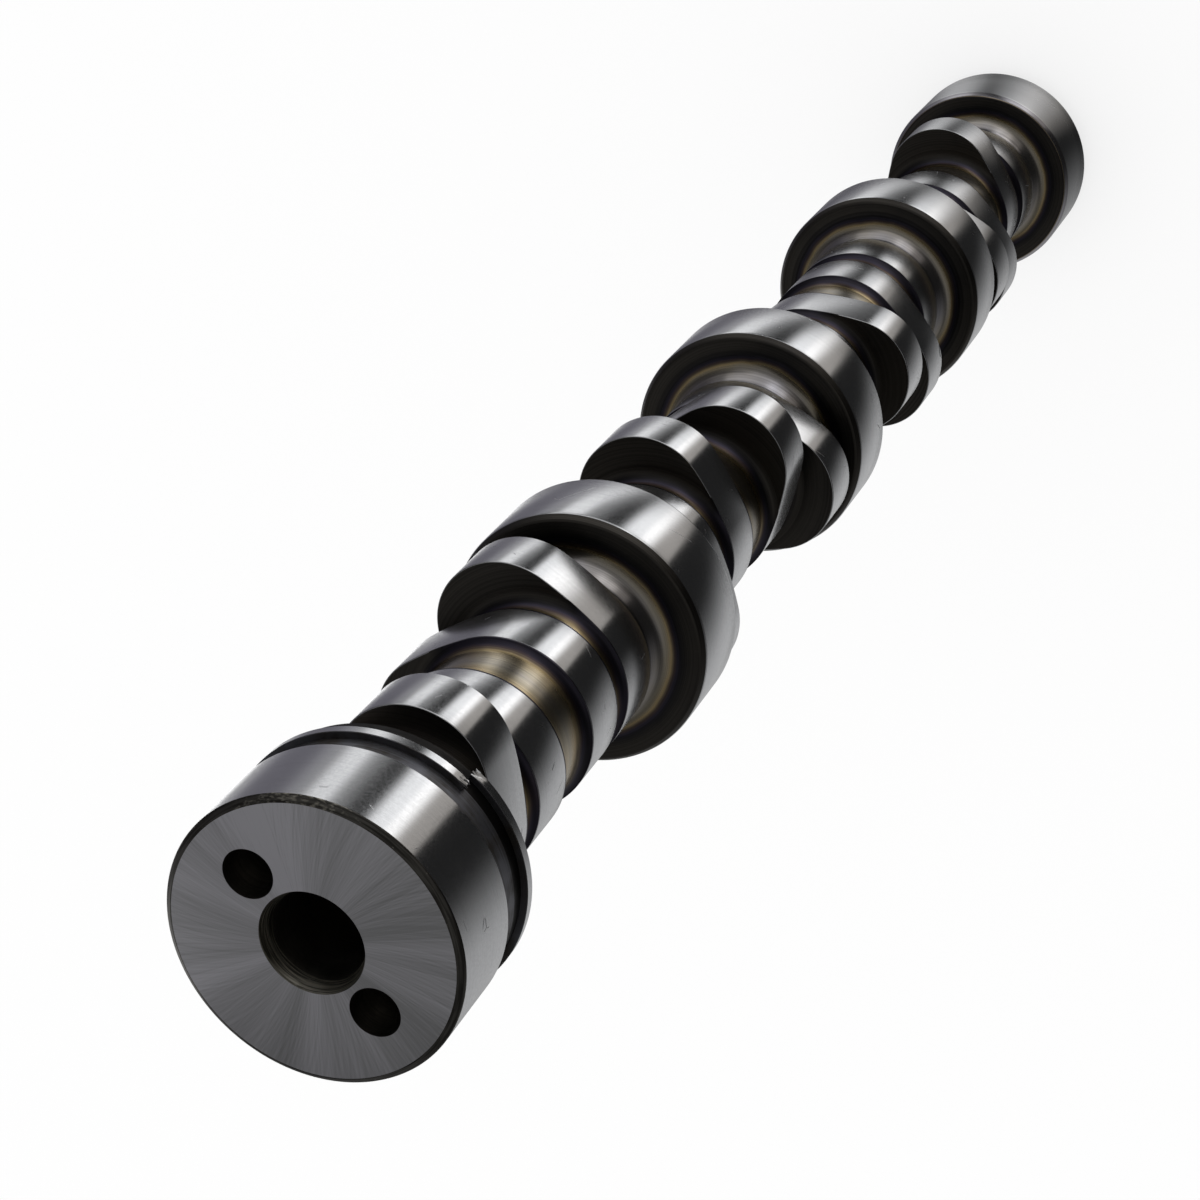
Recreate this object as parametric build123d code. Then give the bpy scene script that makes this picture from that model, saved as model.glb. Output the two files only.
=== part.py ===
from build123d import *
import math
import os

# Camshaft of a pushrod V8 with two valves per cylinder, turned and ground from one steel bar.
# Millimetres. The axis is Z. The shaft stands on its drive end at Z = 0, with the drilled rear end on top.
# Angles run clockwise from +Y, seen from the rear end. The two rear holes lie on the 0 degree line.

# Bearing journals
journal_diameter = 55.0
journal_pitch = 111.76
journal_width = 21.05
journal_count = 5
journal_chamfer_length = 1.5
journal_chamfer_depth = 1.1
drive_journal_width = 24.7
drive_chamfer = 1.0
rear_journal_width = 18.9
rear_chamfer_length = 0.9
rear_chamfer_depth = 1.23
rear_face_to_centre = 20.27

# Necks between journals and lobes
neck_diameter = 33.0
journal_neck = 6.4
pair_neck = 6.25
journal_fillet = 4.9
lobe_fillet = 3.2
fillet_tapers = 2

# Cam lobes: base circle, tangent flanks and nose
base_circle_diameter = 36.7
intake_lift = 8.57
exhaust_lift = 8.43
nose_radius = 14.66
flank_half_angle = 78.0
lobe_width = 12.75
lobe_grinding_clearance = 0.5
lobe_grinding_stock = 0.5

# Valve timing, in degrees of the camshaft
firing_order = (1, 8, 7, 2, 6, 5, 4, 3)
firing_step = 360.0 / len(firing_order)
bank_half_angle = 45.0
timing_phase = 90.0
intake_centre = 234.3
exhaust_centre = 123.2

# Position sensor wheel behind the rear journal: a groove, then two half rings side by side
sensor_groove_width = 5.1
sensor_floor_depth = 1.4
sensor_track_width = 2.1
sensor_track_gap = 1.8
sensor_track_drop = 0.1
sensor_step_angle = 86.0
sensor_track_root = 0.5

# Rear end: taper and bore on the axis, two drilled holes beside it
rear_bore_diameter = 17.3
rear_bore_depth = 45.0
rear_taper_diameter = 19.6
rear_taper_depth = 3.0
rear_hole_diameter = 9.4
rear_hole_depth = 12.0
rear_hole_circle = 31.3

# Drive end: locating hub, three threaded holes, dowel hole and centre hole
hub_diameter = 43.0
hub_length = 6.5
hub_chamfer = 0.8
drive_thread_diameter = 6.8
drive_thread_depth = 20.0
drive_thread_count = 3
drive_hole_circle = 31.0
dowel_diameter = 7.9
dowel_depth = 11.0
centre_hole_diameter = 6.0
centre_hole_depth = 14.0
centre_taper_diameter = 11.0
centre_taper_angle = 60.0

drill_point_angle = 118.0

# Sizes that follow from the ones above
journal_radius = journal_diameter / 2
neck_radius = neck_diameter / 2
base_radius = base_circle_diameter / 2
sensor_floor_radius = journal_radius - sensor_floor_depth
sensor_start = rear_journal_width + sensor_groove_width
sensor_end = sensor_start + 2 * sensor_track_width + sensor_track_gap
drive_wall = rear_face_to_centre + (journal_count - 1) * journal_pitch - journal_width / 2
drive_face = drive_wall + drive_journal_width
total_length = drive_face + hub_length
middle_neck = journal_pitch - journal_width - 2 * journal_neck - 2 * pair_neck - 4 * lobe_width
boss_radius = base_radius + max(intake_lift, exhaust_lift) + lobe_grinding_stock
pair_fillet = min(lobe_fillet, pair_neck / 2)
middle_fillet = min(lobe_fillet, middle_neck / 2)
neck_fillet = min(journal_fillet, journal_neck)


def height(station):
    """Z of a station measured from the rear face."""
    return total_length - station


def journal_wall(index):
    """Station of the wall where a journal begins, for the journals after the first."""
    return rear_face_to_centre + index * journal_pitch - journal_width / 2


def bay_lobes(bay):
    """The four lobes of a bay from the rear, each as (start, fillet before, fillet after).

    Beside a journal, the journal's own fillet fills the neck, and the lobe's wall has none.
    """
    first = journal_wall(bay) + journal_width + journal_neck
    second = first + lobe_width + pair_neck
    third = second + lobe_width + middle_neck
    fourth = third + lobe_width + pair_neck
    return (
        (first, 0.0, pair_fillet),
        (second, pair_fillet, middle_fillet),
        (third, middle_fillet, pair_fillet),
        (fourth, pair_fillet, 0.0),
    )


def journal_edges(start, width, rear_edge, drive_edge):
    """Outline points of a journal, each edge chamfer given as (length, depth)."""
    end = start + width
    return [
        (start, journal_radius - rear_edge[1]),
        (start + rear_edge[0], journal_radius),
        (end - drive_edge[0], journal_radius),
        (end, journal_radius - drive_edge[1]),
    ]


def shaft_blocks():
    """Every block between two necks as (outline points, fillet before, fillet after)."""
    chamfer = (journal_chamfer_length, journal_chamfer_depth)
    rear = journal_edges(0.0, rear_journal_width, (rear_chamfer_length, rear_chamfer_depth), (0.0, 0.0))
    rear += [(rear_journal_width, sensor_floor_radius), (sensor_end, sensor_floor_radius)]
    blocks = [(rear, 0.0, neck_fillet)]
    for bay in range(journal_count - 1):
        for station, before, after in bay_lobes(bay):
            boss = [(station, boss_radius), (station + lobe_width, boss_radius)]
            blocks.append((boss, before, after))
        if bay < journal_count - 2:
            points = journal_edges(journal_wall(bay + 1), journal_width, chamfer, chamfer)
            blocks.append((points, neck_fillet, neck_fillet))
    edge = (drive_chamfer, drive_chamfer)
    blocks.append((journal_edges(drive_wall, drive_journal_width, chamfer, edge), neck_fillet, 0.0))
    return blocks


def fillet_points(wall, radius, side):
    """Points along a fillet from its wall down to the neck, which lies on the given side of the wall.

    The arc is drawn as a few short tapers, which keeps the facets of the whole shaft few.
    """
    centre_radius = neck_radius + radius
    points = []
    for index in range(fillet_tapers + 1):
        turn = math.radians(90.0 * index / fillet_tapers)
        along = radius * (1 - math.cos(turn))
        points.append((wall + side * along, centre_radius - radius * math.sin(turn)))
    return points


def turned_blank():
    """Journals, necks, drive hub and a round boss for each lobe, revolved from one half section."""
    hub_radius = hub_diameter / 2
    blocks = shaft_blocks()
    outline = [(0.0, 0.0)]
    for index, (points, before, after) in enumerate(blocks):
        if index:
            outline += reversed(fillet_points(points[0][0], before, -1))
        outline += points
        if index < len(blocks) - 1:
            outline += fillet_points(points[-1][0], after, 1)
    outline += [
        (drive_face, hub_radius),
        (total_length - hub_chamfer, hub_radius),
        (total_length, hub_radius - hub_chamfer),
        (total_length, 0.0),
    ]
    corners = [(radius, height(station)) for station, radius in outline]
    distinct = [one for one, two in zip(corners, corners[1:]) if math.dist(one, two) > 1e-6]
    with BuildPart() as blank:
        with BuildSketch(Plane.XZ):
            with BuildLine():
                Polyline(*distinct, corners[-1], close=True)
            make_face()
        revolve(axis=Axis.Z)
    return blank.part


def lobe_section(lift):
    """Closed cam outline with its nose on +Y: base circle, two flanks and nose, all tangent."""
    half = math.radians(flank_half_angle)
    reach = base_radius + lift - nose_radius
    top = nose_radius**2 - base_radius**2 + 2 * reach * base_radius * math.cos(half) - reach**2
    flank_radius = top / (2 * (nose_radius - base_radius + reach * math.cos(half)))
    back = flank_radius - base_radius
    centre = (-back * math.sin(half), -back * math.cos(half))
    foot = (base_radius * math.sin(half), base_radius * math.cos(half))
    towards = math.atan2(-centre[0], reach - centre[1])
    shoulder = (nose_radius * math.sin(towards), reach + nose_radius * math.cos(towards))
    between = (half + towards) / 2
    side = (
        centre[0] + flank_radius * math.sin(between),
        centre[1] + flank_radius * math.cos(between),
    )
    with BuildSketch() as outline:
        with BuildLine():
            ThreePointArc(foot, (0.0, -base_radius), (-foot[0], foot[1]))
            ThreePointArc((-foot[0], foot[1]), (-side[0], side[1]), (-shoulder[0], shoulder[1]))
            ThreePointArc((-shoulder[0], shoulder[1]), (0.0, base_radius + lift), shoulder)
            ThreePointArc(shoulder, side, foot)
        make_face()
    return outline.sketch


def nose_angle(cylinder, centre):
    """Angle of a lobe's nose for one cylinder, from its place in the firing order."""
    bank = bank_half_angle if cylinder % 2 else -bank_half_angle
    return timing_phase + centre - bank + firing_step * firing_order.index(cylinder)


def lobe_cutters():
    """What is ground away round each lobe: a round disc with the cam outline left standing.

    In each bay from the rear the lobes are intake, exhaust, exhaust, intake of two cylinders.
    """
    intake = lobe_section(intake_lift)
    exhaust = lobe_section(exhaust_lift)
    disc = Circle(boss_radius + lobe_grinding_clearance)
    cutters = []
    for bay in range(journal_count - 1):
        odd = len(firing_order) - 1 - 2 * bay
        even = odd + 1
        cams = (
            (even, intake, intake_centre),
            (odd, exhaust, exhaust_centre),
            (even, exhaust, exhaust_centre),
            (odd, intake, intake_centre),
        )
        for (station, before, after), (cylinder, section, centre) in zip(bay_lobes(bay), cams):
            before = max(before, lobe_grinding_clearance)
            after = max(after, lobe_grinding_clearance)
            cutter = extrude(disc - section, before + lobe_width + after)
            turned = Rot(0, 0, -nose_angle(cylinder, centre)) * cutter
            cutters.append(Pos(0, 0, height(station + lobe_width + after)) * turned)
    return cutters


def half_ring(start_angle, station):
    """One half ring of the sensor wheel, rooted a little below the groove floor."""
    outer = journal_radius - sensor_track_drop
    ring = Circle(outer) - Circle(sensor_floor_radius - sensor_track_root)
    half_plane = Pos(journal_diameter / 2, 0) * Rectangle(journal_diameter, journal_diameter)
    track = extrude(ring & half_plane, sensor_track_width)
    turned = Rot(0, 0, -start_angle) * track
    return Pos(0, 0, height(station + sensor_track_width)) * turned


def drilled(diameter, depth, face, downward):
    """A drilled hole with its point, as a solid on the Z axis, entering at a face."""
    radius = diameter / 2
    point = radius / math.tan(math.radians(drill_point_angle / 2))
    hole = Cylinder(radius, depth, align=(Align.CENTER, Align.CENTER, Align.MAX))
    tip = Cone(0.0, radius, point, align=(Align.CENTER, Align.CENTER, Align.MAX))
    tool = hole + Pos(0, 0, -depth) * tip
    if not downward:
        tool = Rot(180, 0, 0) * tool
    return Pos(0, 0, face) * tool


def placed(tool, circle, angle):
    """A hole moved from the axis to its place on a circle, clockwise from +Y."""
    turn = math.radians(angle)
    return Pos(circle / 2 * math.sin(turn), circle / 2 * math.cos(turn), 0) * tool


def end_holes():
    """Every hole in the two end faces."""
    taper = Cone(
        rear_bore_diameter / 2,
        rear_taper_diameter / 2,
        rear_taper_depth,
        align=(Align.CENTER, Align.CENTER, Align.MAX),
    )
    holes = [
        drilled(rear_bore_diameter, rear_bore_depth, total_length, True),
        Pos(0, 0, total_length) * taper,
    ]
    rear_hole = drilled(rear_hole_diameter, rear_hole_depth, total_length, True)
    holes += [placed(rear_hole, rear_hole_circle, angle) for angle in (0.0, 180.0)]
    thread = drilled(drive_thread_diameter, drive_thread_depth, 0.0, False)
    step = 360.0 / drive_thread_count
    holes += [placed(thread, drive_hole_circle, step * index) for index in range(drive_thread_count)]
    dowel = drilled(dowel_diameter, dowel_depth, 0.0, False)
    holes.append(placed(dowel, drive_hole_circle, step / 2))
    taper_slope = math.tan(math.radians(centre_taper_angle / 2))
    countersink = Cone(
        centre_taper_diameter / 2,
        centre_hole_diameter / 2,
        (centre_taper_diameter - centre_hole_diameter) / 2 / taper_slope,
        align=(Align.CENTER, Align.CENTER, Align.MIN),
    )
    holes += [drilled(centre_hole_diameter, centre_hole_depth, 0.0, False), countersink]
    return holes


def camshaft():
    """The finished shaft as one solid."""
    shaft = turned_blank() - lobe_cutters()
    second_track = sensor_start + sensor_track_width + sensor_track_gap
    shaft = shaft + [
        half_ring(sensor_step_angle - 180.0, sensor_start),
        half_ring(sensor_step_angle, second_track),
    ]
    return shaft - end_holes()


solid = camshaft().solid()
solid.label = "camshaft"
os.makedirs("parts", exist_ok=True)
export_step(solid, "parts/camshaft.step")
print("length", round(total_length, 2), "volume cm3", round(solid.volume / 1000, 1), "valid", solid.is_valid)
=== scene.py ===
"""Visual model of a ground steel camshaft with five journals and sixteen lobes, and its studio.

Lengths are written in millimetres and turned into metres where a mesh is made. A station is the
distance from the rear face. Angles run clockwise from +Y, seen from the rear end.
"""

from __future__ import annotations

import logging
import math
import random
from dataclasses import dataclass, field, replace
from enum import Enum, IntEnum
from functools import cached_property
from typing import Callable, Iterable

import bpy
from mathutils import Matrix, Vector
from mathutils.geometry import delaunay_2d_cdt

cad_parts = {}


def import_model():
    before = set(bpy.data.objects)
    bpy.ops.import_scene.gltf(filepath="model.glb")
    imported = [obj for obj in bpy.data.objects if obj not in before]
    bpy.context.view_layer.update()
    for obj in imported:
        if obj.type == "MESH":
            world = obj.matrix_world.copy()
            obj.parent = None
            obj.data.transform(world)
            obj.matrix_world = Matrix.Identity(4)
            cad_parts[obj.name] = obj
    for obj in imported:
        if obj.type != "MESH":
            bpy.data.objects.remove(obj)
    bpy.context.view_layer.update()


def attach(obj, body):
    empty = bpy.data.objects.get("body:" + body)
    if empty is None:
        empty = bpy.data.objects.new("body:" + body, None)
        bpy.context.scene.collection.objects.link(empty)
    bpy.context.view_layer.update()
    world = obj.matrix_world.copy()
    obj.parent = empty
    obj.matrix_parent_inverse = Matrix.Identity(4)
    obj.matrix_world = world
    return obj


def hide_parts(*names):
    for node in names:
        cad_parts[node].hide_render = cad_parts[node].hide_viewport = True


LOG = logging.getLogger("camshaft")
METRES = 0.001
WHITE = "#FFFFFF"

# Points round the shaft, and rings across the wall of a journal.
SEGMENTS = 240
WALL_RINGS = 6

# Faces that meet at less than this are shaded as one round surface.
SMOOTH_BELOW = math.radians(25.0)

# Leaves out what lies along the axis.
IN_THE_FACE = (1.0, 1.0, 0.0)

# Kind of triangulation that leaves the holes open.
CDT_INSIDE_WITH_HOLES = 2
CDT_TOLERANCE = 1e-7

# A quarter turn, so that highlights are drawn out across the marks and not along them.
ACROSS_THE_MARKS = 0.25

# Values between which a pattern of marks goes from its lowest tone to its highest.
NOISE_WIDE = (0.3, 0.7)
NOISE_MIDDLE = (0.4, 0.6)


class Finish(Enum):
    """The surfaces that one steel bar shows after turning, hardening and grinding."""

    GROUND = "ground_hardened_steel"
    WALL = "turned_oxidised_steel"
    NECK = "temper_tinted_steel"
    FACE = "face_ground_steel"
    GROOVE = "grooved_dark_steel"
    # Near-black paint that stands in for shade on the sensor wheel's floor.
    SHADED_FLOOR = "painted_shade_floor_steel"
    HOLE = "drilled_steel"
    TAPER = "turned_taper_steel"
    EDGE = "turned_edge_steel"


class Way(IntEnum):
    """A direction along the axis, as the sign of a step from station to station."""

    TO_REAR = -1
    TO_DRIVE = 1


Node = bpy.types.Node
Inputs = dict[str | int, object]
Materials = dict[Finish, bpy.types.Material]
Outline = Callable[[float], float]
Ring = list[int]
Stops = tuple[tuple[float, float], ...]


def linear(colour: str) -> tuple[float, float, float, float]:
    """Turns an sRGB hex colour into linear light.

    Args:
        colour: six hex digits after a hash.

    Returns:
        Red, green, blue and an alpha of 1.
    """
    channels = (int(colour[index : index + 2], 16) / 255 for index in (1, 3, 5))
    red, green, blue = (
        value / 12.92 if value <= 0.04045 else ((value + 0.055) / 1.055) ** 2.4 for value in channels
    )
    return (red, green, blue, 1.0)


class Nodes:
    """Nodes of one material or background, set and linked as they are made."""

    def __init__(self, tree: bpy.types.NodeTree) -> None:
        """Takes the node tree that the nodes go to."""
        self.tree = tree

    def connect(self, node: Node, inputs: Inputs) -> Node:
        """Sets a node's inputs, each to a value, a socket or the first open output of another node.

        Args:
            node: the node.
            inputs: what each input takes, by its name or number.

        Returns:
            The same node.
        """
        for socket, value in inputs.items():
            if isinstance(value, Node):
                value = next(output for output in value.outputs if output.enabled)
            if isinstance(value, bpy.types.NodeSocket):
                self.tree.links.new(value, node.inputs[socket])
            else:
                node.inputs[socket].default_value = value
        return node

    def add(self, kind: str, inputs: Inputs | None = None, **settings: object) -> Node:
        """Adds a node with its settings, input values and links.

        Args:
            kind: Blender's name for the node type, after the words ShaderNode.
            inputs: what each input takes, by its name or number.
            **settings: properties of the node.

        Returns:
            The new node.
        """
        made = self.tree.nodes.new(f"ShaderNode{kind}")
        for name, value in settings.items():
            setattr(made, name, value)
        return self.connect(made, inputs or {})

    @cached_property
    def place(self) -> bpy.types.NodeSocket:
        """The object's own coordinates."""
        return self.add("TexCoord").outputs["Object"]

    def marks(self, length: float, spacing: float, detail: float) -> Node:
        """Adds a pattern of uneven marks that have a real size.

        Args:
            length: length of a mark across the axis in millimetres.
            spacing: spacing of the marks along the axis in millimetres.
            detail: number of finer layers.

        Returns:
            The node that gives the pattern, with values round 0.5.
        """
        around, along = 1 / (length * METRES), 1 / (spacing * METRES)
        scaled = self.add("Mapping", {"Vector": self.place, "Scale": (around, around, along)})
        return self.add("TexNoise", {"Vector": scaled, "Scale": 1.0, "Detail": detail})

    def two_tone(self, value: Node, limits: tuple[float, float], low: object, high: object) -> Node:
        """Blends two colours by a value.

        Args:
            value: the node that gives the value.
            limits: values at which the first and the second colour stand alone.
            low: the first colour, or the node that gives it.
            high: the second colour.

        Returns:
            The node that gives the colour.
        """
        share = self.add("MapRange", {"Value": value, "From Min": limits[0], "From Max": limits[1]})
        return self.add("Mix", {"Factor": share, "A": low, "B": high}, data_type="RGBA")


def empty_material(name: str) -> tuple[bpy.types.Material, Nodes]:
    """Makes a material without nodes.

    Args:
        name: name of the material.

    Returns:
        The material and its nodes to be.
    """
    made = bpy.data.materials.new(name)
    made.use_nodes = True
    made.node_tree.nodes.clear()
    return made, Nodes(made.node_tree)


def placed(name: str, data: bpy.types.ID) -> bpy.types.Object:
    """Makes an object and puts it in the scene.

    Args:
        name: name of the object.
        data: its mesh, lamp or camera.

    Returns:
        The object.
    """
    made = bpy.data.objects.new(name, data)
    bpy.context.scene.collection.objects.link(made)
    return made


@dataclass(frozen=True)
class ShaftSizes:
    """Sizes that every sub-assembly shares, as in the solid model."""

    journal_diameter: float = 55.0
    journal_pitch: float = 111.76
    journal_width: float = 21.05
    journal_count: int = 5
    rear_face_to_centre: float = 20.27
    rear_journal_width: float = 18.9
    drive_journal_width: float = 24.7
    hub_length: float = 6.5
    neck_diameter: float = 33.0
    journal_neck: float = 6.4
    pair_neck: float = 6.25
    journal_fillet: float = 4.9
    lobe_fillet: float = 3.2
    lobe_width: float = 12.75
    sensor_groove: float = 5.1
    sensor_floor_depth: float = 1.4
    sensor_track: float = 2.1
    sensor_gap: float = 1.8
    wall_hidden: float = 0.6

    @property
    def journal_radius(self) -> float:
        """Radius of every journal."""
        return self.journal_diameter / 2

    @property
    def neck_radius(self) -> float:
        """Radius of the bare shaft between journals and lobes."""
        return self.neck_diameter / 2

    @property
    def wall_foot(self) -> float:
        """Radius where a journal's wall starts, a little inside the top of its fillet."""
        return self.neck_radius + self.journal_fillet - self.wall_hidden

    @property
    def sensor_end(self) -> float:
        """Station where the sensor wheel ends and the first neck begins."""
        return self.rear_journal_width + self.sensor_groove + 2 * self.sensor_track + self.sensor_gap

    @property
    def middle_neck(self) -> float:
        """Length of the neck in the middle of each bay."""
        taken = self.journal_width + 2 * self.journal_neck + 2 * self.pair_neck + 4 * self.lobe_width
        return self.journal_pitch - taken

    @property
    def drive_face(self) -> float:
        """Station of the thrust face at the drive end."""
        return self.journal_wall(self.journal_count - 1) + self.drive_journal_width

    @property
    def length(self) -> float:
        """Overall length of the shaft."""
        return self.drive_face + self.hub_length

    def journal_wall(self, index: int) -> float:
        """Station of the wall where a journal after the first begins."""
        return self.rear_face_to_centre + index * self.journal_pitch - self.journal_width / 2


@dataclass(frozen=True)
class CamOutline:
    """Cam section of base circle, two flanks and nose, all tangent."""

    base_radius: float
    lift: float
    nose_radius: float = 14.66
    flank_half_angle: float = 78.0

    def radius(self, angle: float) -> float:
        """Distance from the axis to the outline.

        Args:
            angle: angle from the nose in radians.

        Returns:
            The radius in millimetres.
        """
        away = abs(math.remainder(angle, math.tau))
        half = math.radians(self.flank_half_angle)
        if away >= half:
            return self.base_radius
        reach = self.base_radius + self.lift - self.nose_radius
        top = self.nose_radius**2 - self.base_radius**2 - reach**2
        top += 2 * reach * self.base_radius * math.cos(half)
        flank_radius = top / (2 * (self.nose_radius - self.base_radius + reach * math.cos(half)))
        back = flank_radius - self.base_radius
        centre = (-back * math.sin(half), -back * math.cos(half))
        towards = math.atan2(-centre[0], reach - centre[1])
        shoulder = math.atan2(
            self.nose_radius * math.sin(towards), reach + self.nose_radius * math.cos(towards)
        )
        if away <= shoulder:
            return self._far_crossing((0.0, reach), self.nose_radius, away)
        return self._far_crossing(centre, flank_radius, away)

    @staticmethod
    def _far_crossing(centre: tuple[float, float], radius: float, angle: float) -> float:
        """Finds the distance at which a ray from the axis leaves a circle.

        Args:
            centre: the circle's centre, across and along the nose.
            radius: the circle's radius.
            angle: angle of the ray from the nose in radians.

        Returns:
            The distance in millimetres.
        """
        along = centre[0] * math.sin(angle) + centre[1] * math.cos(angle)
        across = centre[0] ** 2 + centre[1] ** 2 - along**2
        return along + math.sqrt(radius**2 - across)


@dataclass
class PieceMesh:
    """Points and faces of one piece, gathered ring by ring before Blender makes the mesh."""

    length: float
    points: list[tuple[float, float, float]] = field(default_factory=list)
    heat: list[float] = field(default_factory=list)
    faces: list[tuple[int, ...]] = field(default_factory=list)
    finishes: list[Finish] = field(default_factory=list)

    def point(self, station: float, radius: float, angle: float, heat: float = 0.0) -> int:
        """Adds a point and returns its number.

        Args:
            station: distance from the rear face in millimetres.
            radius: distance from the axis in millimetres.
            angle: clockwise from +Y in radians.
            heat: how far the temper tints have gone there, 0 to 1.

        Returns:
            The number of the new point.
        """
        across, up = radius * math.sin(angle), radius * math.cos(angle)
        self.points.append((across * METRES, up * METRES, (self.length - station) * METRES))
        self.heat.append(heat)
        return len(self.points) - 1

    def ring(
        self,
        station: float,
        radius: float,
        heat: float = 0.0,
        segments: int = SEGMENTS,
        centre: tuple[float, float] = (0.0, 0.0),
    ) -> Ring:
        """Adds a round ring of points.

        Args:
            station: distance from the rear face in millimetres.
            radius: radius of the ring in millimetres.
            heat: how far the temper tints have gone there, 0 to 1.
            segments: number of points.
            centre: offset of the ring's centre in x and y in millimetres.

        Returns:
            The numbers of its points.
        """
        height = (self.length - station) * METRES
        first = len(self.points)
        for step in range(segments):
            angle = math.tau * step / segments
            x = centre[0] + radius * math.sin(angle)
            y = centre[1] + radius * math.cos(angle)
            self.points.append((x * METRES, y * METRES, height))
            self.heat.append(heat)
        return list(range(first, first + segments))

    def face(self, corners: Iterable[int], finish: Finish) -> None:
        """Adds a face with its finish."""
        self.faces.append(tuple(corners))
        self.finishes.append(finish)

    def bridge(self, above: Ring, below: Ring, finish: Finish) -> None:
        """Joins two rings with quads that face outwards where below lies nearer the drive end.

        Args:
            above: ring nearer the rear end.
            below: ring nearer the drive end.
            finish: finish of the new faces.
        """
        for step in range(len(above)):
            after = (step + 1) % len(above)
            self.face((above[step], above[after], below[after], below[step]), finish)

    def loft(self, rings: list[Ring], finishes: list[Finish]) -> None:
        """Joins rings one after another, each gap with its own finish."""
        for above, below, finish in zip(rings, rings[1:], finishes):
            self.bridge(above, below, finish)

    def close(self, ring: Ring, finish: Finish, facing: Way) -> None:
        """Closes a ring with one flat face that looks to the rear or to the drive end."""
        self.face(reversed(ring) if facing is Way.TO_REAR else ring, finish)

    def body(self, rings: list[Ring], finishes: list[Finish]) -> None:
        """Joins rings to a body and closes both its ends.

        Args:
            rings: rings from the rear on.
            finishes: finish of each gap. An end takes that of the gap next to it.
        """
        self.loft(rings, finishes)
        self.close(rings[0], finishes[0], Way.TO_REAR)
        self.close(rings[-1], finishes[-1], Way.TO_DRIVE)

    def close_with_holes(self, outer: Ring, holes: list[Ring], finish: Finish, facing: Way) -> None:
        """Fills the flat face between an outer ring and the mouths of its holes.

        Args:
            outer: ring round the face.
            holes: rings of the holes in it.
            finish: finish of the face.
            facing: where the face looks.
        """
        numbers = outer + [index for hole in holes for index in hole]
        flat = [Vector(self.points[index][:2]) for index in numbers]
        loops = []
        start = 0
        for ring in (outer, *holes):
            loops.append(list(range(start, start + len(ring))))
            start += len(ring)
        made = delaunay_2d_cdt(flat, [], loops, CDT_INSIDE_WITH_HOLES, CDT_TOLERANCE)
        source = [origin[0] for origin in made[3]]
        for triangle in made[2]:
            corners = [numbers[source[index]] for index in triangle]
            one, two, three = (Vector(self.points[index]) for index in corners)
            upwards = (two - one).cross(three - one).z > 0
            if upwards != (facing is Way.TO_REAR):
                corners.reverse()
            self.face(corners, finish)

    def piece(self, name: str, materials: Materials) -> bpy.types.Object:
        """Makes the object, with a material slot for each finish that it shows.

        Args:
            name: name of the piece.
            materials: material of each finish.

        Returns:
            The new object, riding on the shaft's body.
        """
        mesh = bpy.data.meshes.new(name)
        mesh.from_pydata(self.points, [], self.faces)
        shown = list(dict.fromkeys(self.finishes))
        for finish in shown:
            mesh.materials.append(materials[finish])
        slots = [shown.index(finish) for finish in self.finishes]
        mesh.polygons.foreach_set("material_index", slots)
        mesh.polygons.foreach_set("use_smooth", [True] * len(self.faces))
        mesh.set_sharp_from_angle(angle=SMOOTH_BELOW)
        heat = mesh.attributes.new("temper", "FLOAT", "POINT")
        heat.data.foreach_set("value", self.heat)
        mesh.validate()
        made = placed(name, mesh)
        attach(made, "root")
        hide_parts("camshaft")
        return made


def between(value: float, stops: Stops) -> float:
    """Reads a value from straight runs between stops.

    Args:
        value: where to read.
        stops: pairs of place and value, in rising order.

    Returns:
        The value there, held level beyond either end.
    """
    if value <= stops[0][0]:
        return stops[0][1]
    for (near, low), (far, high) in zip(stops, stops[1:]):
        if value <= far:
            return low + (high - low) * (value - near) / (far - near)
    return stops[-1][1]


@dataclass(frozen=True)
class HeatSpread:
    """How far hardening has tinted the steel at each radius: 0 is bare, 1 is black oxide. Beside a lobe the
    dark end also stands for painted shade in the corner.
    """

    beside_journal: Stops = (
        (16.5, 0.04),
        (18.5, 0.10),
        (20.1, 0.26),
        (20.9, 0.43),
        (21.6, 0.57),
        (22.8, 0.80),
        (24.4, 1.00),
    )
    # Beside a lobe the tints reach near-black within a few millimetres of the neck: real temper tints, with
    # painted shade in the corner against the lobe's wall.
    beside_lobe_with_shade: Stops = (
        (16.5, 0.33),
        (16.6, 0.41),
        (16.8, 0.50),
        (17.2, 0.62),
        (17.8, 0.77),
        (18.5, 0.93),
        (19.2, 1.00),
    )
    wall_limit: Stops = ((18.4, 0.66), (20.2, 1.0))


HEAT = HeatSpread()


@dataclass(frozen=True)
class Edge:
    """Edge of a disc: a chamfer with a length along the axis and a depth, both corners rounded a little."""

    length: float
    depth: float
    rounding: float = 0.3
    most_rounded: float = 1 / 3

    def profile(self, wall: float, radius: float, way: Way) -> list[tuple[float, float]]:
        """Stations and radii from the wall out to the ground face.

        Args:
            wall: station of the wall.
            radius: radius of the ground face.
            way: where the ground face lies from the wall.

        Returns:
            The points of the edge in order.
        """
        slope = math.hypot(self.length, self.depth)
        step = min(self.rounding, slope * self.most_rounded)
        along, down = step * self.length / slope, step * self.depth / slope
        return [
            (wall, radius - self.depth - step),
            (wall + way * along, radius - self.depth + down),
            (wall + way * (self.length - along), radius - down),
            (wall + way * (self.length + step), radius),
        ]


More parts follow.
